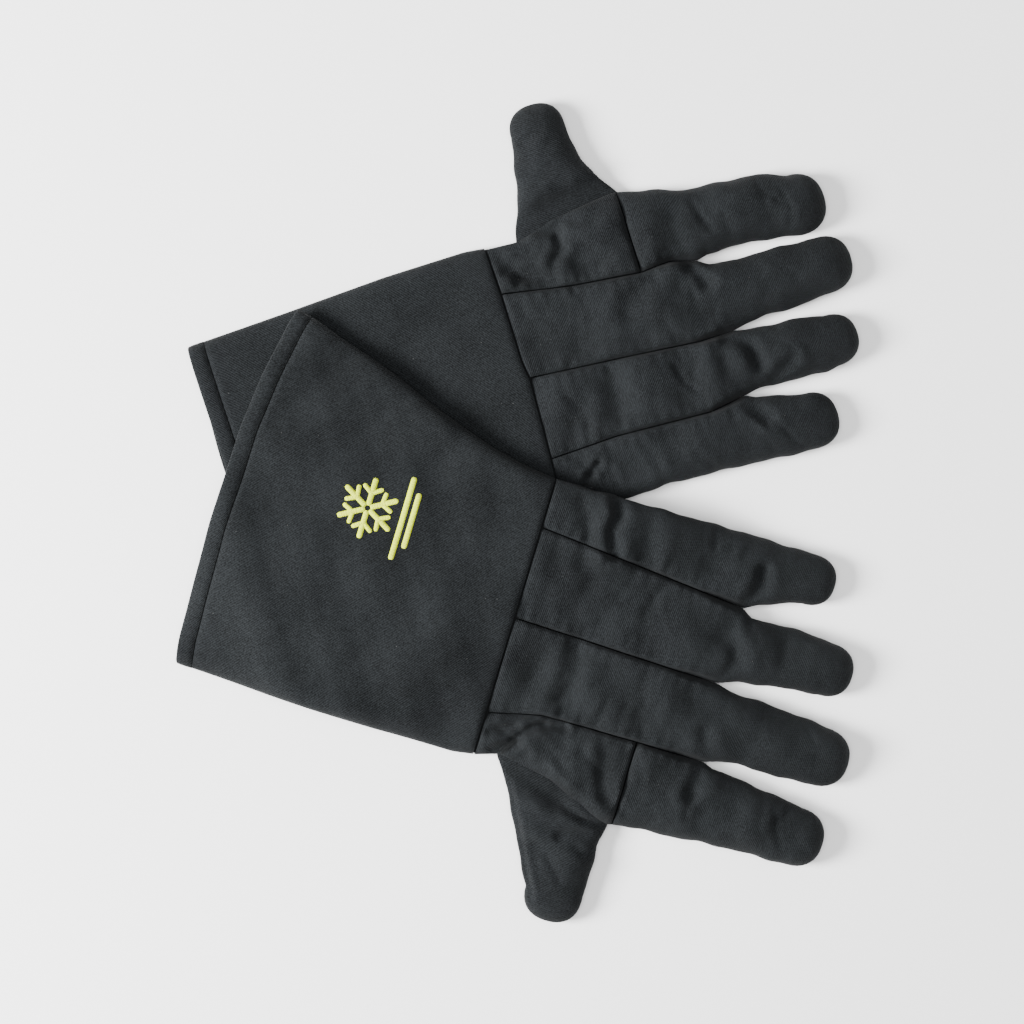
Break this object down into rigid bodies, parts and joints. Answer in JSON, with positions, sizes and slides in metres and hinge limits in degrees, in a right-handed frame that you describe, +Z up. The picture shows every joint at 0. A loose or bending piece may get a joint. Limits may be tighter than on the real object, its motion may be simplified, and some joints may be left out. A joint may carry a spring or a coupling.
{
  "type": "insulated gauntlet gloves",
  "caption": "Pair of insulated cryogenic gauntlet gloves with flared cuffs, lying back up, the left over the right one's cuff",
  "frame": {"origin": "middle of the pair's box, on the surface it lies on", "axes": "+Z up out of the backs of the hands, +X towards the fingertips, +Y from the left glove to the right one"},
  "size_m": [0.388, 0.4638, 0.0264],
  "materials": {
    "shell": "charcoal twill, matte",
    "lining": "dark brushed insulating lining",
    "badge": "yellow embroidery thread"
  },
  "bodies": {
    "right_glove": {"right_cuff_back_panel": "shell", "right_cuff_palm_panel": "shell", "right_cuff_lining": "lining", "right_hem_band": "shell", "right_wrist_seam": "shell", "right_embroidered_badge": "badge", "right_palm_panel": "shell", "right_hand_lining": "lining", "right_index_base_panel": "shell", "right_index_strip": "shell", "right_middle_strip": "shell", "right_ring_strip": "shell", "right_little_strip": "shell"},
    "right_index": {"right_index_back": "shell", "right_index_front": "shell", "right_index_lining": "lining"},
    "right_middle": {"right_middle_back": "shell", "right_middle_front": "shell", "right_middle_lining": "lining"},
    "right_ring": {"right_ring_back": "shell", "right_ring_front": "shell", "right_ring_lining": "lining"},
    "right_little": {"right_little_back": "shell", "right_little_front": "shell", "right_little_lining": "lining"},
    "right_thumb": {"right_thumb_back": "shell", "right_thumb_front": "shell", "right_thumb_lining": "lining"},
    "left_glove": {"left_cuff_back_panel": "shell", "left_cuff_palm_panel": "shell", "left_cuff_lining": "lining", "left_hem_band": "shell", "left_wrist_seam": "shell", "left_embroidered_badge": "badge", "left_palm_panel": "shell", "left_hand_lining": "lining", "left_index_base_panel": "shell", "left_index_strip": "shell", "left_middle_strip": "shell", "left_ring_strip": "shell", "left_little_strip": "shell"},
    "left_index": {"left_index_back": "shell", "left_index_front": "shell", "left_index_lining": "lining"},
    "left_middle": {"left_middle_back": "shell", "left_middle_front": "shell", "left_middle_lining": "lining"},
    "left_ring": {"left_ring_back": "shell", "left_ring_front": "shell", "left_ring_lining": "lining"},
    "left_little": {"left_little_back": "shell", "left_little_front": "shell", "left_little_lining": "lining"},
    "left_thumb": {"left_thumb_back": "shell", "left_thumb_front": "shell", "left_thumb_lining": "lining"}
  },
  "joints": [
    {"name": "left_glove_lift", "type": "slide", "parent": "right_glove", "child": "left_glove", "axis": [0, 0, 1], "range_m": [0, 0.15]},
    {"name": "right_index_fold", "type": "hinge", "parent": "right_glove", "child": "right_index", "pos_m": [0.10191, 0.16362, 0.016], "axis": [0.2919, -0.9565, 0], "range_deg": [0, 65]},
    {"name": "right_middle_fold", "type": "hinge", "parent": "right_glove", "child": "right_middle", "pos_m": [0.11424, 0.12321, 0.016], "axis": [0.2919, -0.9565, 0], "range_deg": [0, 65]},
    {"name": "right_ring_fold", "type": "hinge", "parent": "right_glove", "child": "right_ring", "pos_m": [0.12621, 0.084, 0.016], "axis": [0.2919, -0.9565, 0], "range_deg": [0, 65]},
    {"name": "right_little_fold", "type": "hinge", "parent": "right_glove", "child": "right_little", "pos_m": [0.13716, 0.04813, 0.016], "axis": [0.2919, -0.9565, 0], "range_deg": [0, 65]},
    {"name": "right_thumb_fold", "type": "hinge", "parent": "right_glove", "child": "right_thumb", "pos_m": [0.02757, 0.16911, 0.014], "axis": [0.9184, 0.3957, 0], "range_deg": [0, 60]},
    {"name": "left_index_fold", "type": "hinge", "parent": "left_glove", "child": "left_index", "pos_m": [0.09423, -0.16214, 0.016], "axis": [-0.2854, -0.9584, 0], "range_deg": [0, 65]},
    {"name": "left_middle_fold", "type": "hinge", "parent": "left_glove", "child": "left_middle", "pos_m": [0.10736, -0.11805, 0.016], "axis": [-0.2854, -0.9584, 0], "range_deg": [0, 65]},
    {"name": "left_ring_fold", "type": "hinge", "parent": "left_glove", "child": "left_ring", "pos_m": [0.1202, -0.07493, 0.016], "axis": [-0.2854, -0.9584, 0], "range_deg": [0, 65]},
    {"name": "left_little_fold", "type": "hinge", "parent": "left_glove", "child": "left_little", "pos_m": [0.13232, -0.03419, 0.016], "axis": [-0.2854, -0.9584, 0], "range_deg": [0, 65]},
    {"name": "left_thumb_fold", "type": "hinge", "parent": "left_glove", "child": "left_thumb", "pos_m": [0.02029, -0.15992, 0.014], "axis": [-0.8823, 0.4707, 0], "range_deg": [0, 60]}
  ]
}
